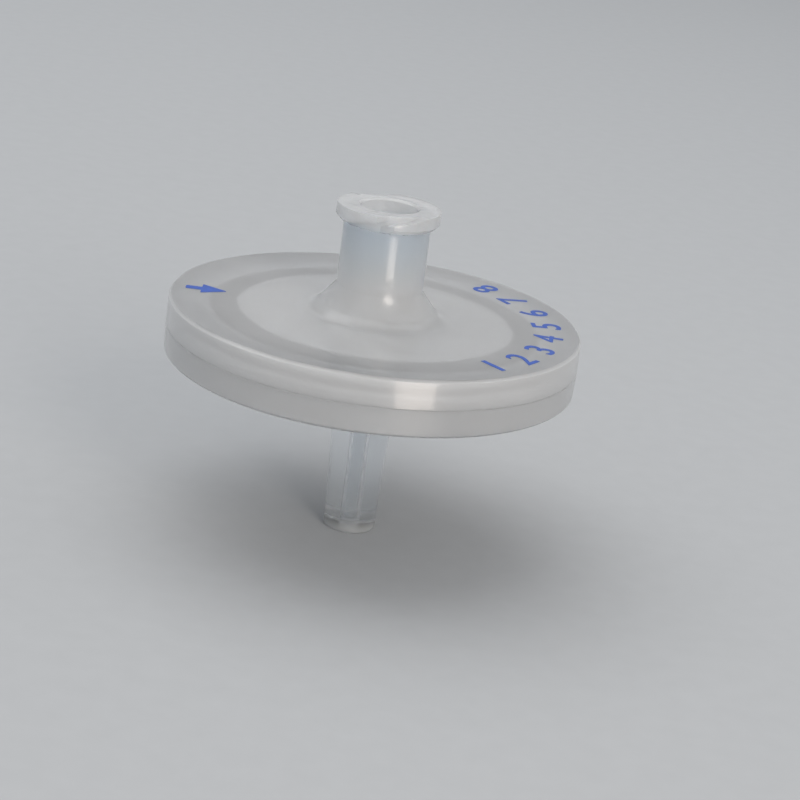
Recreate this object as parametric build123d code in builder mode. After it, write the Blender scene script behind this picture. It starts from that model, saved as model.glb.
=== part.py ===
"""Syringe filter: two welded polypropylene shells that clamp a round membrane between them.

The inlet on top is a female luer lock with two helical lugs. The outlet below is a male luer slip
nozzle, and the filter stands on its tip. Millimetres, +Z from outlet to inlet, origin at the
centre of the nozzle's tip face.
"""

import os
from math import isclose, radians, tan

from build123d import *

# ---- Driving dimensions -------------------------------------------------------------------------

# Both luer fittings are 6 % cones: the diameter grows by this much for each mm along the axis.
luer_taper = 0.06

# Outlet nozzle, a male luer slip
nozzle_length = 13.1
nozzle_tip_diameter = 4.0
nozzle_tip_rounding = 0.25
nozzle_root_fillet = 0.7
outlet_bore_diameter = 1.0
outlet_funnel_diameter = 3.0
outlet_funnel_depth = 0.85

# Membrane, clamped round its edge; what is inside the clamp is the filtering area
membrane_diameter = 25.0
membrane_thickness = 0.2
clamp_width = 2.1

# Outlet shell, and its raised seat that the membrane lies on
floor_wall = 1.85
drain_depth = 0.4
seat_rise = 0.15
seat_margin = 0.1

# Drain grid under the membrane: concentric ribs, cut through by radial channels
drain_rib_width = 0.6
drain_rib_pitch = 2.0
drain_channel_width = 0.9
drain_channel_count = 8

# Inlet shell
top_wall = 1.4
chamber_gap = 0.45
spigot_clearance = 0.1
spreader_rib_count = 8
spreader_rib_width = 0.6
spreader_rib_clearance = 0.15
spreader_rib_end_gap = 1.0

# Rim: the shells are welded across this land, and the mould's draft slopes both sides of the line
weld_land_width = 2.9
rim_draft = 1.5
rim_edge_chamfer = 0.2
weld_line_chamfer = 0.04

# Inlet hub, a female luer lock
socket_mouth_diameter = 4.3
socket_depth = 8.4
socket_floor_wall = 1.2
socket_mouth_chamfer = 0.15
inlet_port_diameter = 1.6
hub_wall = 1.1
hub_foot_height = 2.0
hub_foot_spread = 1.6
hub_foot_fillet = 1.5

# Luer-lock lugs: two parts of a double-start thread, each a flat-bottomed flange whose leading end
# is cut from above, and its trailing end from below, by the thread's helix
lug_count = 2
lug_lead = 5.0
lug_reach = 0.65
lug_depth = 1.25
lug_flank = 0.35
lug_start_angle = 262.0
lug_span = 191.0
lug_ramp_in = 16.0
lug_ramp_out = 14.0
lug_nose_depth = 0.8
lug_tail_depth = 0.3

# ---- Levels and radii that follow ---------------------------------------------------------------

z_underside = nozzle_length
z_drain_floor = z_underside + floor_wall
z_seat = z_drain_floor + drain_depth
z_weld = z_seat - seat_rise
z_membrane_top = z_seat + membrane_thickness
z_ceiling = z_membrane_top + chamber_gap
z_top = z_ceiling + top_wall
z_socket_floor = z_ceiling + socket_floor_wall
z_inlet = z_socket_floor + socket_depth

nozzle_tip_radius = nozzle_tip_diameter / 2
nozzle_root_radius = nozzle_tip_radius + luer_taper / 2 * nozzle_length
outlet_bore_radius = outlet_bore_diameter / 2
funnel_radius = outlet_funnel_diameter / 2

chamber_radius = membrane_diameter / 2 - clamp_width
seat_radius = membrane_diameter / 2 + seat_margin
recess_radius = seat_radius + spigot_clearance
rim_radius = recess_radius + weld_land_width
rim_slope = tan(radians(rim_draft))
rim_top_radius = rim_radius - rim_slope * (z_top - z_weld)
rim_bottom_radius = rim_radius - rim_slope * (z_weld - z_underside)

socket_mouth_radius = socket_mouth_diameter / 2
socket_floor_radius = socket_mouth_radius - luer_taper / 2 * socket_depth
port_radius = inlet_port_diameter / 2
hub_radius = socket_mouth_radius + hub_wall
hub_foot_radius = hub_radius + hub_foot_spread
lug_radius = hub_radius + lug_reach


def ring_edge(builder, radius, z):
    """The circular edge of the builder's part that has this radius at this height."""

    def matches(edge):
        if edge.geom_type != GeomType.CIRCLE:
            return False
        return isclose(edge.radius, radius, abs_tol=1e-4) and isclose(
            edge.arc_center.Z, z, abs_tol=1e-4
        )

    return builder.edges().filter_by(matches)


# ---- Outlet shell -------------------------------------------------------------------------------

with BuildPart() as outlet_housing:
    with BuildSketch(Plane.XZ):
        with BuildLine():
            Polyline(
                (outlet_bore_radius, 0),
                (nozzle_tip_radius, 0),
                (nozzle_root_radius, z_underside),
                (rim_bottom_radius, z_underside),
                (rim_radius, z_weld),
                (seat_radius, z_weld),
                (seat_radius, z_seat),
                (chamber_radius, z_seat),
                (chamber_radius, z_drain_floor),
                (funnel_radius, z_drain_floor),
                (outlet_bore_radius, z_drain_floor - outlet_funnel_depth),
                close=True,
            )
        make_face()
    revolve(axis=Axis.Z)
    fillet(ring_edge(outlet_housing, nozzle_tip_radius, 0), nozzle_tip_rounding)
    fillet(ring_edge(outlet_housing, nozzle_root_radius, z_underside), nozzle_root_fillet)
    chamfer(ring_edge(outlet_housing, rim_bottom_radius, z_underside), rim_edge_chamfer)
    chamfer(ring_edge(outlet_housing, rim_radius, z_weld), weld_line_chamfer)

    # Drain grid: rings from the outside in, so that each ring's hole leaves the next one whole
    first_ring_radius = funnel_radius + drain_rib_pitch / 2
    last_ring_room = chamber_radius - drain_rib_width - first_ring_radius
    drain_ring_count = 1 + int(last_ring_room / drain_rib_pitch)
    with BuildSketch(Plane.XY.offset(z_drain_floor)):
        for ring in reversed(range(drain_ring_count)):
            ring_radius = first_ring_radius + ring * drain_rib_pitch
            Circle(ring_radius + drain_rib_width / 2)
            Circle(ring_radius - drain_rib_width / 2, mode=Mode.SUBTRACT)
        with PolarLocations(chamber_radius / 2, drain_channel_count):
            Rectangle(chamber_radius, drain_channel_width, mode=Mode.SUBTRACT)
    extrude(amount=drain_depth)

# ---- Membrane -----------------------------------------------------------------------------------

with BuildPart() as membrane:
    with BuildSketch(Plane.XY.offset(z_seat)):
        Circle(membrane_diameter / 2)
    extrude(amount=membrane_thickness)

# ---- Luer-lock lug, modelled with its nose at angle 0 -------------------------------------------


def thread_space(turn, height):
    """The space swept along the thread's helix from angle 0 through turn degrees.

    In each radial plane it is a rectangle centred on the lug's outer face, wide enough to clear the
    whole lug. It stands on the helix where height is positive, and hangs from it where negative.
    """
    with BuildPart() as space:
        with BuildLine() as path:
            Helix(pitch=lug_lead, height=lug_lead * turn / 360, radius=lug_radius)
        with BuildSketch(Plane.XZ):
            with Locations((lug_radius, height / 2)):
                Rectangle(cut_width, abs(height))
        sweep(path=path.line, is_frenet=True)
    return space.part


def helix_point(angle, radius):
    """The plan point at this angle and radius."""
    return Vector(radius, 0).rotate(Axis.Z, angle)


# Each helical cut starts and ends this many degrees outside the lug.
cut_overrun = 10.0
lug_core_radius = hub_radius - lug_reach
cut_width = 3 * (lug_radius - lug_core_radius)
rise_per_degree = lug_lead / 360
nose_turn = cut_overrun + lug_nose_depth / rise_per_degree + cut_overrun
tail_turn = cut_overrun + (lug_depth - lug_tail_depth) / rise_per_degree + cut_overrun
nose_space = thread_space(nose_turn, lug_depth + lug_reach)
tail_space = thread_space(tail_turn, -lug_depth - lug_reach)

with BuildPart() as lug:
    with BuildSketch(Plane.XZ):
        with BuildLine():
            Polyline(
                (lug_core_radius, z_inlet),
                (lug_radius, z_inlet),
                (lug_radius, z_inlet - lug_depth + lug_flank),
                (lug_radius - lug_flank, z_inlet - lug_depth),
                (lug_core_radius, z_inlet - lug_depth),
                close=True,
            )
        make_face()
    revolve(axis=Axis.Z)
    with BuildSketch(Plane.XY.offset(z_inlet)):
        with BuildLine():
            outer = CenterArc((0, 0), lug_radius, lug_ramp_in, lug_span - lug_ramp_in - lug_ramp_out)
            inner = CenterArc((0, 0), lug_core_radius, 0, lug_span)
            Polyline(inner @ 0, helix_point(0, hub_radius), outer @ 0)
            Polyline(inner @ 1, helix_point(lug_span, hub_radius), outer @ 1)
        make_face()
    extrude(amount=-lug_depth, mode=Mode.INTERSECT)
    nose_level = z_inlet - lug_nose_depth - cut_overrun * rise_per_degree
    with Locations(Location((0, 0, nose_level), (0, 0, -cut_overrun))):
        add(nose_space, mode=Mode.SUBTRACT)
    tail_level = z_inlet - lug_tail_depth - (tail_turn - cut_overrun) * rise_per_degree
    with Locations(Location((0, 0, tail_level), (0, 0, lug_span - tail_turn + cut_overrun))):
        add(tail_space, mode=Mode.SUBTRACT)

# ---- Inlet shell --------------------------------------------------------------------------------

with BuildPart() as inlet_housing:
    with BuildSketch(Plane.XZ):
        with BuildLine():
            Polyline(
                (rim_radius, z_weld),
                (rim_top_radius, z_top),
                (hub_foot_radius, z_top),
                (hub_radius, z_top + hub_foot_height),
                (hub_radius, z_inlet),
                (socket_mouth_radius, z_inlet),
                (socket_floor_radius, z_socket_floor),
                (port_radius, z_socket_floor),
                (port_radius, z_ceiling),
                (chamber_radius, z_ceiling),
                (chamber_radius, z_membrane_top),
                (recess_radius, z_membrane_top),
                (recess_radius, z_weld),
                close=True,
            )
        make_face()
    revolve(axis=Axis.Z)
    fillet(ring_edge(inlet_housing, hub_foot_radius, z_top), hub_foot_fillet)
    chamfer(ring_edge(inlet_housing, rim_top_radius, z_top), rim_edge_chamfer)
    chamfer(ring_edge(inlet_housing, rim_radius, z_weld), weld_line_chamfer)
    with PolarLocations(0, lug_count, start_angle=lug_start_angle):
        add(lug.part)
    chamfer(ring_edge(inlet_housing, socket_mouth_radius, z_inlet), socket_mouth_chamfer)

    # Spreader ribs hang from the chamber's ceiling and stop the membrane from lifting against it.
    spreader_start = funnel_radius
    spreader_length = chamber_radius - spreader_rib_end_gap - spreader_start
    with BuildSketch(Plane.XY.offset(z_ceiling)):
        with PolarLocations(spreader_start + spreader_length / 2, spreader_rib_count):
            Rectangle(spreader_length, spreader_rib_width)
    extrude(amount=spreader_rib_clearance - chamber_gap)

# ---- Labels and files ---------------------------------------------------------------------------

outlet_housing.part.label = "outlet_housing"
membrane.part.label = "membrane"
inlet_housing.part.label = "inlet_housing"

os.makedirs("parts", exist_ok=True)
export_step(outlet_housing.part, "parts/outlet_housing.step")
export_step(membrane.part, "parts/membrane.step")
export_step(inlet_housing.part, "parts/inlet_housing.step")
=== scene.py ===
"""Dresses the syringe filter: its plastics, its membrane, the printed marks and the stage."""

from math import cos, pi, radians, sin

import bpy
from bpy.props import (
    FloatProperty,
    FloatVectorProperty,
    IntProperty,
    PointerProperty,
    StringProperty,
)
from bpy.types import Operator, Panel, PropertyGroup
from mathutils import Euler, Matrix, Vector


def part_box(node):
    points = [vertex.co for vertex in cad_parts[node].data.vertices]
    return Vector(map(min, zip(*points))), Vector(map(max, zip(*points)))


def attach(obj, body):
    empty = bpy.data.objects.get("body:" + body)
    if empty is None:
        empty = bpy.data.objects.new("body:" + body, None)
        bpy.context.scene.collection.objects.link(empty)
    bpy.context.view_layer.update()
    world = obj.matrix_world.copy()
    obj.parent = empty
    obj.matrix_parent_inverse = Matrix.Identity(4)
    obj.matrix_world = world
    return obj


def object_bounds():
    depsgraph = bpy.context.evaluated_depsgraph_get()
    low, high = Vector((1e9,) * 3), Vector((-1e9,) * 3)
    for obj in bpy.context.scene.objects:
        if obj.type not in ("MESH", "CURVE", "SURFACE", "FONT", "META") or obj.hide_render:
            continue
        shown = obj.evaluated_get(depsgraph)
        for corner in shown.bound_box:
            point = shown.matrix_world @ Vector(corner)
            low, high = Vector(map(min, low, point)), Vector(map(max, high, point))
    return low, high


bl_info = {
    "name": "Syringe Filter",
    "version": (1, 0, 0),
    "blender": (4, 5, 0),
    "location": "View3D > Sidebar > Filter",
    "description": "Dresses a syringe filter in its plastics and print, and sets its stage",
    "category": "Object",
}

mm = 0.001

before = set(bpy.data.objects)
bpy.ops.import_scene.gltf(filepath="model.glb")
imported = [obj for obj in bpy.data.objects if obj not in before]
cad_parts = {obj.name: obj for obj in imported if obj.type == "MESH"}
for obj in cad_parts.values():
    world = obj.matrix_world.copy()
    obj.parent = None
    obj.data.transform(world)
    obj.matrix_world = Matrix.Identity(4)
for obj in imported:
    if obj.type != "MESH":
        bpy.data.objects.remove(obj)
cad_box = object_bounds()
inlet_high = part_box("inlet_housing")[1]
membrane_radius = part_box("membrane")[1].x
rim_radius = inlet_high.x


def rim_levels(node_name):
    """The lowest and the highest level of a shell's mesh out by the disc's rim."""
    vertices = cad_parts[node_name].data.vertices
    levels = [v.co.z for v in vertices if v.co.xy.length > 0.8 * rim_radius]
    return min(levels), max(levels)


weld_level, disc_top = rim_levels("inlet_housing")
disc_underside = rim_levels("outlet_housing")[0]
# The hub's foot is a cone 2 mm high.
foot_top = disc_top + 2 * mm

# Places nearer than this, in metres, count as the same.
tolerance = 1e-6


# ---- Sizes and colours that a user would change -------------------------------------------------


class FilterPlastics(PropertyGroup):
    """Finish of the two moulded shells and of the membrane."""

    shell_colour: StringProperty(
        name="Shell colour",
        description="Colour of the moulded polypropylene, as an sRGB hex value",
        default="#F9FAFB",
    )
    thin_wall_colour: StringProperty(
        name="Thin wall colour",
        description="Cooler colour of the hub and the nozzle, whose walls scatter less light",
        default="#E6EEF6",
    )
    membrane_colour: StringProperty(
        name="Membrane colour",
        description="Colour of the membrane, as an sRGB hex value",
        default="#DDDDDA",
    )


class FilterPrint(PropertyGroup):
    """Sizes and colour of the pad-printed marks on the disc's top face."""

    ink_colour: StringProperty(
        name="Ink colour",
        description="Colour of the pad-printing ink, as an sRGB hex value",
        default="#1549A4",
    )
    ink_thickness: FloatProperty(
        name="Ink thickness",
        description="How far the printed ink stands above the plastic",
        default=0.02 * mm,
        unit="LENGTH",
    )
    digit_count: IntProperty(
        name="Digits",
        description="How many digits the printed scale has, from 1 upwards",
        default=8,
        min=1,
        max=9,
    )
    digit_height: FloatProperty(
        name="Digit height",
        description="Height of each digit, along the disc's radius",
        default=2.3 * mm,
        unit="LENGTH",
    )
    digit_boldness: FloatProperty(
        name="Digit boldness",
        description="How much wider than the font's each stroke is, on each side",
        default=0.03 * mm,
        unit="LENGTH",
    )
    arrow_width: FloatProperty(
        name="Arrow width",
        description="Width of the printed arrow's head",
        default=2.2 * mm,
        unit="LENGTH",
    )
    shaft_length: FloatProperty(
        name="Shaft length",
        description="Length of the printed arrow's shaft",
        default=1.2 * mm,
        unit="LENGTH",
    )
    scale_radius: FloatProperty(
        name="Scale radius",
        description="Distance from the filter's axis to the middle of the digits",
        default=13.2 * mm,
        unit="LENGTH",
    )
    scale_middle: FloatProperty(
        name="Scale middle",
        description="Direction of the middle of the printed scale, turned from +X",
        default=radians(1),
        subtype="ANGLE",
    )
    scale_span: FloatProperty(
        name="Scale span",
        description="Angle from the first digit to the last",
        default=radians(98),
        subtype="ANGLE",
    )


class FilterStage(PropertyGroup):
    """Floor, light and camera."""

    floor_colour: StringProperty(
        name="Floor colour",
        description="Colour of the floor, as an sRGB hex value",
        default="#C1C3C5",
    )
    room_colour: StringProperty(
        name="Room colour",
        description="Colour of the light from all round the room, as an sRGB hex value",
        default="#EEF0F3",
    )
    room_brightness: FloatProperty(
        name="Room brightness",
        description="Strength of the light from all round the room",
        default=0.62,
        min=0,
    )
    camera_aim: FloatVectorProperty(
        name="Camera aim",
        description="The point that the camera looks at",
        default=(2.67 * mm, 0, 10.64 * mm),
        subtype="TRANSLATION",
        unit="LENGTH",
    )
    camera_distance: FloatProperty(
        name="Camera distance",
        description="Distance from the camera to its aim",
        default=166.4 * mm,
        unit="LENGTH",
    )
    camera_elevation: FloatProperty(
        name="Camera elevation",
        description="Angle at which the camera looks down",
        default=radians(18.82),
        subtype="ANGLE",
    )
    camera_turn: FloatProperty(
        name="Camera turn",
        description="How far the camera has gone round the filter from its front",
        default=radians(-0.97),
        subtype="ANGLE",
    )
    camera_roll: FloatProperty(
        name="Camera roll",
        description="How far the camera leans about its line of sight",
        default=radians(7.69),
        subtype="ANGLE",
    )
    focal_length: FloatProperty(
        name="Focal length",
        description="Focal length of the lens, in millimetres, on a sensor 36 mm wide",
        default=98.3,
    )


# ---- Shared functions ---------------------------------------------------------------------------


def linear_colour(hex_value):
    """The linear RGBA of an sRGB hex value such as #EDF0F2."""
    channels = [int(hex_value[i : i + 2], 16) / 255 for i in (1, 3, 5)]
    return [c / 12.92 if c <= 0.04045 else ((c + 0.055) / 1.055) ** 2.4 for c in channels] + [1]


def add_node(tree, kind, settings=(), links=()):
    """Adds a node of this kind. A setting is one of its properties, or else one of its inputs."""
    node = tree.nodes.new(kind)
    for name, value in dict(settings).items():
        if hasattr(node, str(name)):
            setattr(node, name, value)
        else:
            node.inputs[name].default_value = value
    for name, source in dict(links).items():
        tree.links.new(source, node.inputs[name])
    return node


def new_material(name):
    """An empty node material, its tree and its output node."""
    material = bpy.data.materials.new(name)
    material.use_nodes = True
    material.node_tree.nodes.clear()
    return material, material.node_tree, material.node_tree.nodes.new("ShaderNodeOutputMaterial")


def deselect_all():
    bpy.ops.object.select_all(action="DESELECT")


def select_in_edit_mode(piece, kind, wanted):
    """Opens the piece in edit mode, with only the edges or faces selected whose corners pass."""
    bpy.ops.object.mode_set(mode="EDIT")
    bpy.ops.mesh.select_mode(type=kind)
    bpy.ops.mesh.select_all(action="DESELECT")
    bpy.ops.object.mode_set(mode="OBJECT")
    for part in piece.data.edges if kind == "EDGE" else piece.data.polygons:
        part.select = wanted(*(piece.data.vertices[i].co for i in part.vertices))
    bpy.ops.object.mode_set(mode="EDIT")


def dress_node(node_name, material):
    """Gives a CAD node this one material."""
    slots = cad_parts[node_name].data.materials
    slots.clear()
    slots.append(material)


# ---- Plastics -----------------------------------------------------------------------------------


# What the plastic's clearness, blueness and roughness start from, and what each part of the filter
# and each pattern adds to them. Clearness is how much light goes straight through.
clearness_changes = (
    0.72,
    {
        "land": 0.1,
        # Painted light: the rim's wall is made milkier, so that it shows brighter than the lamps
        # light it.
        "rim": -0.32,
        "hub": -0.18,
        "upper_hub": 0.1,
        "flange": -0.04,
        # Painted shade: the lower shell is made clearer, so that the shade beneath the disc shows
        # through and darkens its band.
        "outlet": 0.1,
        "nozzle": 0.12,
        # Painted highlight: the nozzle's tip is made milky, so that its rounded edge shows bright.
        "tip": -0.4,
        "cloud": -0.12,
    },
)
blueness_changes = (0.0, {"blue_hub": 1.0, "flange": -1.0, "nozzle": 0.35})
roughness_changes = (0.26, {"scuffs": 0.1, "flange": -0.14, "nozzle": -0.24})


def filter_shares(tree, place, height):
    """How far each part of the filter has begun, from 0 to 1, and how strong each pattern is."""
    flat_place = add_node(
        tree, "ShaderNodeVectorMath", {"operation": "MULTIPLY", 1: (1, 1, 0)}, {0: place}
    ).outputs["Vector"]
    radius = add_node(
        tree, "ShaderNodeVectorMath", {"operation": "LENGTH"}, {0: flat_place}
    ).outputs["Value"]
    shares = {}
    for name, value, start, end in (
        ("land", radius, membrane_radius - 1 * mm, rim_radius - 0.5 * mm),
        # Where painted light makes the rim's wall milkier and brighter
        ("rim", radius, rim_radius - 0.35 * mm, rim_radius - 0.05 * mm),
        ("hub", height, disc_top, foot_top + 1 * mm),
        ("upper_hub", height, foot_top, foot_top + 3 * mm),
        ("blue_hub", height, disc_top + 1 * mm, disc_top + 7 * mm),
        ("flange", height, inlet_high.z - 1.6 * mm, inlet_high.z - 0.8 * mm),
        # Where the lower shell is clearer, as painted shade that darkens its band
        ("outlet", height, weld_level, weld_level - 0.1 * mm),
        ("nozzle", height, disc_underside, disc_underside - 1 * mm),
        # Where a painted highlight makes the nozzle's tip milky
        ("tip", height, 1.2 * mm, 0.2 * mm),
    ):
        shares[name] = add_node(
            tree,
            "ShaderNodeMapRange",
            {"interpolation_type": "SMOOTHSTEP", "From Min": start, "From Max": end},
            {"Value": value},
        ).outputs["Result"]
    # Cloudy parts of the melt are about 5 mm across, and patches of scuffs 0.8 mm.
    for name, size in (("cloud", 5 * mm), ("scuffs", 0.8 * mm)):
        shares[name] = add_node(
            tree, "ShaderNodeTexNoise", {"Scale": 1 / size, "Detail": 3.0}, {"Vector": place}
        ).outputs["Fac"]
    return shares


def moulded_relief(tree, place, height, flange_share):
    """The normals of a moulded surface: its soft line at the hub's foot, and its sink marks."""
    # The mould leaves no hard line where the hub meets its foot: the relief rises to it from 1 mm
    # above and below, more and more steeply.
    above_line = add_node(
        tree, "ShaderNodeMath", {"operation": "SUBTRACT", 1: foot_top}, {0: height}
    ).outputs["Value"]
    from_line = add_node(
        tree, "ShaderNodeMath", {"operation": "ABSOLUTE"}, {0: above_line}
    ).outputs["Value"]
    near_line = add_node(
        tree, "ShaderNodeMapRange", {"From Min": 1 * mm, "From Max": 0.0}, {"Value": from_line}
    ).outputs["Result"]
    rise = add_node(
        tree, "ShaderNodeMath", {"operation": "POWER", 1: 2.0}, {0: near_line}
    ).outputs["Value"]
    soft_line = add_node(
        tree, "ShaderNodeBump", {"Strength": 1.0, "Distance": 0.17 * mm}, {"Height": rise}
    ).outputs["Normal"]

    # Sink and flow marks make the faces a little wavy over about 6 mm. The flange, where the melt
    # ended its way, has finer and deeper ones.
    detail, depth = (
        add_node(
            tree, "ShaderNodeMapRange", {"To Min": disc, "To Max": flange}, {"Value": flange_share}
        ).outputs["Result"]
        for disc, flange in ((1.0, 5.0), (0.06 * mm, 0.4 * mm))
    )
    sink_marks = add_node(
        tree, "ShaderNodeTexNoise", {"Scale": 1 / (6 * mm)}, {"Vector": place, "Detail": detail}
    ).outputs["Fac"]
    return add_node(
        tree,
        "ShaderNodeBump",
        {"Strength": 1.0},
        {"Height": sink_marks, "Distance": depth, "Normal": soft_line},
    ).outputs["Normal"]


def moulded_polypropylene(plastics):
    """Natural polypropylene, injection moulded: milky, because its crystals scatter light.

    A glossy skin from the mould lies over it, finely scuffed by other filters in the same bag. The
    disc is clearer over the welded land than over the membrane. Its rim is milkier: painted light
    that makes the rim's wall brighter than the lamps alone light it. The whole lower shell is
    clearer, which darkens its band as painted shade, because the real shade beneath the disc shows
    through it. The hub is a little bluer, the flange of lugs at its mouth is whiter and shinier, and
    the nozzle is the clearest, up to its tip, which is milky as a painted highlight on its rounded
    edge.
    """
    material, tree, output = new_material("Natural_Polypropylene_Moulded")
    place = add_node(tree, "ShaderNodeTexCoord").outputs["Object"]
    height = add_node(tree, "ShaderNodeSeparateXYZ", links={0: place}).outputs["Z"]
    shares = filter_shares(tree, place, height)
    relief = moulded_relief(tree, place, height, shares["flange"])

    # Each total begins as a number, and then runs on from node to node.
    totals = []
    for total, changes in (clearness_changes, blueness_changes, roughness_changes):
        for name, change in changes.items():
            step = add_node(
                tree, "ShaderNodeMath", {"operation": "MULTIPLY_ADD", 1: change}, {0: shares[name]}
            )
            if isinstance(total, float):
                step.inputs[2].default_value = total
            else:
                tree.links.new(total, step.inputs[2])
            total = step.outputs["Value"]
        totals.append(total)
    clearness, blueness, roughness = totals
    colour = add_node(
        tree,
        "ShaderNodeMix",
        {
            "data_type": "RGBA",
            6: linear_colour(plastics.shell_colour),
            7: linear_colour(plastics.thin_wall_colour),
        },
        {0: blueness},
    ).outputs[2]
    # Polypropylene's index is 1.49, and light spreads about 0.7 mm among its crystals.
    shader = add_node(
        tree,
        "ShaderNodeBsdfPrincipled",
        {
            "IOR": 1.49,
            "Subsurface Weight": 0.7,
            "Subsurface Radius": (1.0, 1.0, 1.0),
            "Subsurface Scale": 0.7 * mm,
            "Coat Weight": 0.6,
            "Coat Roughness": 0.1,
            "Coat IOR": 1.49,
        },
        {
            "Base Color": colour,
            "Roughness": roughness,
            "Transmission Weight": clearness,
            "Normal": relief,
            "Coat Normal": relief,
        },
    )
    tree.links.new(shader.outputs[0], output.inputs["Surface"])
    return material


def membrane_film(plastics):
    """PTFE film on a polypropylene net: white and matt, with the net's fine weave in relief."""
    material, tree, output = new_material("PTFE_Membrane_On_Net")
    place = add_node(tree, "ShaderNodeTexCoord").outputs["Object"]
    # The net's filaments lie 0.5 mm apart.
    net = add_node(
        tree, "ShaderNodeTexVoronoi", {"Scale": 1 / (0.5 * mm), "Randomness": 0.2}, {"Vector": place}
    ).outputs["Distance"]
    relief = add_node(
        tree, "ShaderNodeBump", {"Strength": 0.4, "Distance": 0.05 * mm}, {"Height": net}
    ).outputs["Normal"]
    shader = add_node(
        tree,
        "ShaderNodeBsdfPrincipled",
        {
            "Base Color": linear_colour(plastics.membrane_colour),
            "Roughness": 0.9,
            "Specular IOR Level": 0.3,
        },
        {"Normal": relief},
    )
    tree.links.new(shader.outputs[0], output.inputs["Surface"])
    return material


class FILTER_OT_shells(Operator):
    """Give both moulded shells their translucent polypropylene"""

    bl_idname = "syringe_filter.shells"
    bl_label = "Dress Shells"

    def execute(self, context):
        material = moulded_polypropylene(context.scene.filter_plastics)
        dress_node("inlet_housing", material)
        dress_node("outlet_housing", material)
        return {"FINISHED"}


class FILTER_OT_membrane(Operator):
    """Give the membrane its white film"""

    bl_idname = "syringe_filter.membrane"
    bl_label = "Dress Membrane"

    def execute(self, context):
        dress_node("membrane", membrane_film(context.scene.filter_plastics))
        return {"FINISHED"}


# ---- Printed marks ------------------------------------------------------------------------------


def printing_ink(marks):
    """Pad-printing ink: an opaque blue film with a slight gloss, patchy where it ran thin."""
    name = "Pad_Printing_Ink"
    if name in bpy.data.materials:
        return bpy.data.materials[name]
    material, tree, output = new_material(name)
    place = add_node(tree, "ShaderNodeTexCoord").outputs["Object"]
    # Patches of thinner and paler ink are about 0.4 mm across.
    patches = add_node(
        tree, "ShaderNodeTexNoise", {"Scale": 1 / (0.4 * mm), "Detail": 2.0}, {"Vector": place}
    ).outputs["Fac"]
    ink = linear_colour(marks.ink_colour)
    thin_ink = [1.5 * c + 0.03 for c in ink[:3]] + [1]
    colour = add_node(
        tree, "ShaderNodeMix", {"data_type": "RGBA", 6: ink, 7: thin_ink}, {0: patches}
    ).outputs[2]
    shader = add_node(
        tree, "ShaderNodeBsdfPrincipled", {"Roughness": 0.45}, {"Base Color": colour}
    )
    tree.links.new(shader.outputs[0], output.inputs["Surface"])
    return material


def ink_levels(marks):
    """The middle level of the printed ink and half its height. A fifth more is in the plastic."""
    low = disc_top - marks.ink_thickness / 5
    high = disc_top + marks.ink_thickness
    return (low + high) / 2, (high - low) / 2


def print_on_disc(piece, marks):
    """Finishes a printed mark whose mesh is in place on the disc's top face."""
    piece.data.materials.clear()
    piece.data.materials.append(printing_ink(marks))
    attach(piece, "root")


def fatten_strokes(digit, marks):
    """Widens a digit's strokes, because the font's are thinner than a pad prints."""
    middle, half = ink_levels(marks)
    bpy.ops.object.mode_set(mode="EDIT")
    bpy.ops.mesh.select_all(action="SELECT")
    bpy.ops.mesh.remove_doubles(threshold=0.01 * mm)
    bpy.ops.mesh.dissolve_degenerate(threshold=1e-7)
    bpy.ops.transform.shrink_fatten(value=marks.digit_boldness, use_even_offset=True)

    # The bottom and top faces have moved too, so they are set back to the ink's own levels.
    for side in (-1, 1):
        select_in_edit_mode(
            digit, "FACE", lambda *corners: all(side * (c.z - middle) > 0 for c in corners)
        )
        bpy.ops.transform.resize(value=(1, 1, 0), center_override=(0, 0, middle + side * half))
    bpy.ops.object.mode_set(mode="OBJECT")


class FILTER_OT_scale_print(Operator):
    """Print the scale of digits round the right side of the disc"""

    bl_idname = "syringe_filter.scale_print"
    bl_label = "Print Scale"

    def execute(self, context):
        marks = context.scene.filter_print
        # A digit's height, as a share of the font's size
        font_height = 0.72
        middle, half = ink_levels(marks)
        steps = max(marks.digit_count - 1, 1)
        for index in range(marks.digit_count):
            deselect_all()
            angle = marks.scale_middle + marks.scale_span * (index / steps - 0.5)
            bpy.ops.object.text_add(
                location=(
                    marks.scale_radius * cos(angle),
                    marks.scale_radius * sin(angle),
                    middle,
                ),
                rotation=(0, 0, angle + pi / 2),
            )
            text = context.object
            text.name = f"scale_digit_{index + 1}"
            text.data.body = str(index + 1)
            text.data.size = marks.digit_height / font_height
            text.data.align_x = "CENTER"
            text.data.align_y = "CENTER"
            text.data.extrude = half
            text.data.resolution_u = 6
            bpy.ops.object.convert(target="MESH")
            bpy.ops.object.transform_apply()
            digit = context.object
            fatten_strokes(digit, marks)
            print_on_disc(digit, marks)
        return {"FINISHED"}


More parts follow.
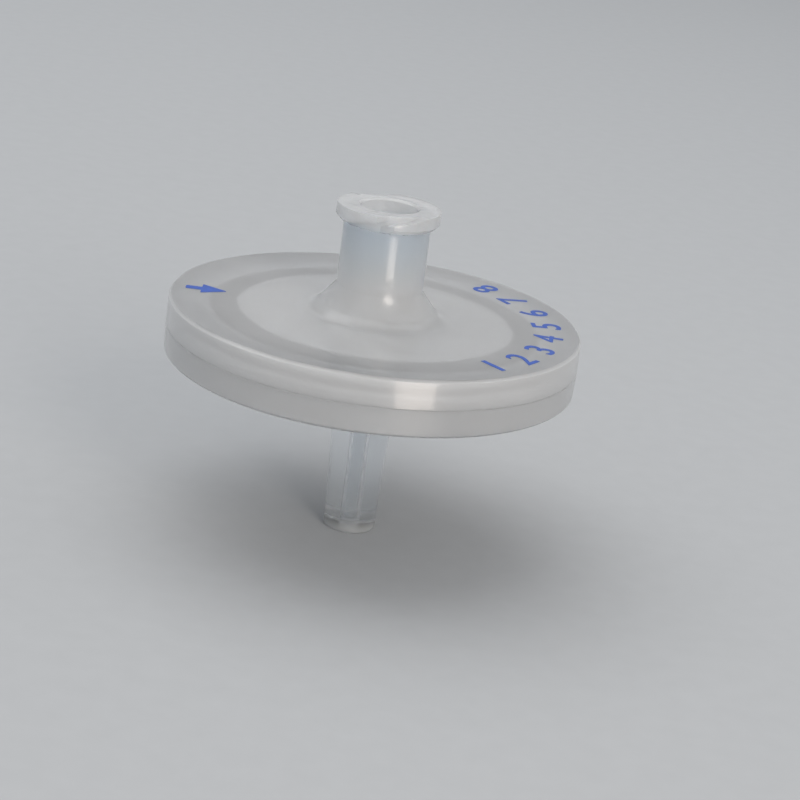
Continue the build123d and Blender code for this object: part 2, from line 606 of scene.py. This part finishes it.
class FILTER_OT_flow_mark(Operator):
    """Print the plain arrow that stands opposite the scale and points at the hub"""

    bl_idname = "syringe_filter.flow_mark"
    bl_label = "Print Flow Mark"

    def execute(self, context):
        marks = context.scene.filter_print
        middle, half = ink_levels(marks)
        deselect_all()
        # The head is an equilateral triangle, which a cylinder of three sides gives.
        head_radius = marks.arrow_width / (2 * cos(radians(30)))
        bpy.ops.mesh.primitive_cylinder_add(
            vertices=3,
            radius=head_radius,
            depth=2 * half,
            location=(head_radius / 2 - marks.scale_radius, 0, middle),
            rotation=(0, 0, -pi / 2),
        )
        arrow = context.object
        arrow.name = "flow_mark"
        bpy.ops.object.transform_apply()

        # The back of the head is cut in three, and the middle third drawn out into the shaft.
        back = min(v.co.x for v in arrow.data.vertices) + tolerance
        select_in_edit_mode(
            arrow, "EDGE", lambda a, b: max(a.x, b.x) < back and abs(a.z - b.z) < tolerance
        )
        bpy.ops.mesh.subdivide(number_cuts=2)
        reach = marks.arrow_width / 4
        select_in_edit_mode(
            arrow,
            "FACE",
            lambda *corners: all(c.x < back and abs(c.y) < reach for c in corners),
        )
        bpy.ops.mesh.extrude_region_move(
            TRANSFORM_OT_translate={"value": (-marks.shaft_length, 0, 0)}
        )
        bpy.ops.mesh.select_all(action="SELECT")
        bpy.ops.mesh.dissolve_limited(angle_limit=radians(1))

        # Ink rounds every corner of its outline.
        select_in_edit_mode(arrow, "EDGE", lambda a, b: (a.xy - b.xy).length < tolerance)
        bpy.ops.mesh.bevel(offset=0.12 * mm, segments=4)
        bpy.ops.object.mode_set(mode="OBJECT")
        print_on_disc(arrow, marks)
        return {"FINISHED"}


# ---- Stage --------------------------------------------------------------------------------------


def add_softbox(name, place, size, target, power, colour="#FFFFFF"):
    """A rectangular lamp of this power, in watts, that faces target.

    Place, target and size, its width and height, are in metres.
    """
    direction = Vector(target) - Vector(place)
    bpy.ops.object.light_add(
        type="AREA", location=place, rotation=direction.to_track_quat("-Z", "Y").to_euler()
    )
    lamp = bpy.context.object
    lamp.name = name
    lamp.data.shape = "RECTANGLE"
    lamp.data.size, lamp.data.size_y = size
    lamp.data.energy = power
    lamp.data.color = linear_colour(colour)[:3]
    lamp.visible_camera = False
    return lamp


def floor_paint(colour):
    """Matt studio board, lightly mottled so that it doesn't look like a blank sheet."""
    material, tree, output = new_material("Matt_Studio_Board")
    place = add_node(tree, "ShaderNodeTexCoord").outputs["Object"]
    fibres = add_node(
        tree, "ShaderNodeTexNoise", {"Scale": 1 / (2 * mm), "Detail": 4.0}, {"Vector": place}
    ).outputs["Fac"]
    pale = linear_colour(colour)
    deeper = [0.94 * c for c in pale[:3]] + [1]
    board = add_node(
        tree, "ShaderNodeMix", {"data_type": "RGBA", 6: deeper, 7: pale}, {0: fibres}
    ).outputs[2]
    shader = add_node(
        tree,
        "ShaderNodeBsdfPrincipled",
        {"Roughness": 0.85, "Specular IOR Level": 0.0},
        {"Base Color": board},
    )
    tree.links.new(shader.outputs[0], output.inputs["Surface"])
    return material


class FILTER_OT_stage(Operator):
    """Set the floor, the soft light and the camera"""

    bl_idname = "syringe_filter.stage"
    bl_label = "Set Stage"

    def execute(self, context):
        stage = context.scene.filter_stage
        deselect_all()
        bpy.ops.mesh.primitive_plane_add(size=6, location=(0, 0, cad_box[0][2]))
        floor = context.object
        floor.name = "floor"
        floor.data.materials.append(floor_paint(stage.floor_colour))

        disc = (0, 0, 14 * mm)
        add_softbox("overhead_softbox", (-0.10, 0.10, 0.45), (0.5, 0.5), disc, 0.95)
        add_softbox("front_softbox", (0.20, -0.38, 0.22), (0.16, 0.22), disc, 0.7, "#FFF6EC")
        # The mirror image of a small card near the floor makes the stripe on the hub and the rim.
        # It stands 60 mm away, to the right of the front, and doesn't light the floor beside it.
        card_turn = radians(23)
        card_level = 5 * mm
        card = add_softbox(
            "low_card",
            (60 * mm * sin(card_turn), -60 * mm * cos(card_turn), card_level),
            (20 * mm, 10 * mm),
            (0, 0, card_level),
            0.0034,
            "#FFF1E4",
        )
        card.visible_diffuse = False

        world = bpy.data.worlds.new("Soft_Room")
        context.scene.world = world
        world.use_nodes = True
        room = world.node_tree.nodes["Background"]
        room.inputs["Color"].default_value = linear_colour(stage.room_colour)
        room.inputs["Strength"].default_value = stage.room_brightness
        context.scene.view_settings.view_transform = "Standard"

        sight = Euler((pi / 2 - stage.camera_elevation, 0, stage.camera_turn)).to_quaternion()
        place = stage.camera_aim + sight @ Vector((0, 0, stage.camera_distance))
        roll = Euler((0, 0, stage.camera_roll)).to_quaternion()
        bpy.ops.object.camera_add(location=place, rotation=(sight @ roll).to_euler())
        camera = context.object
        camera.name = "camera"
        camera.data.lens = stage.focal_length
        camera.data.sensor_width = 36
        camera.data.clip_start = 10 * mm
        context.scene.camera = camera
        return {"FINISHED"}


class FILTER_PT_panel(Panel):
    """Lists the filter's pieces and its stage"""

    bl_idname = "FILTER_PT_panel"
    bl_label = "Syringe Filter"
    bl_space_type = "VIEW_3D"
    bl_region_type = "UI"
    bl_category = "Filter"

    def draw(self, context):
        for group in property_groups:
            box = self.layout.box()
            settings = getattr(context.scene, group)
            for name in settings.__annotations__:
                box.prop(settings, name)
        for operator in operators:
            self.layout.operator(operator.bl_idname)


property_groups = {
    "filter_plastics": FilterPlastics,
    "filter_print": FilterPrint,
    "filter_stage": FilterStage,
}
operators = (
    FILTER_OT_shells,
    FILTER_OT_membrane,
    FILTER_OT_scale_print,
    FILTER_OT_flow_mark,
    FILTER_OT_stage,
)


def register():
    for cls in (*property_groups.values(), *operators, FILTER_PT_panel):
        bpy.utils.register_class(cls)
    for name, cls in property_groups.items():
        setattr(bpy.types.Scene, name, PointerProperty(type=cls))


def unregister():
    for name in property_groups:
        delattr(bpy.types.Scene, name)
    for cls in (FILTER_PT_panel, *reversed(operators), *property_groups.values()):
        bpy.utils.unregister_class(cls)


def main():
    register()
    bpy.ops.syringe_filter.shells()
    bpy.ops.syringe_filter.membrane()
    bpy.ops.syringe_filter.scale_print()
    bpy.ops.syringe_filter.flow_mark()
    bpy.ops.syringe_filter.stage()


if __name__ == "__main__":
    main()
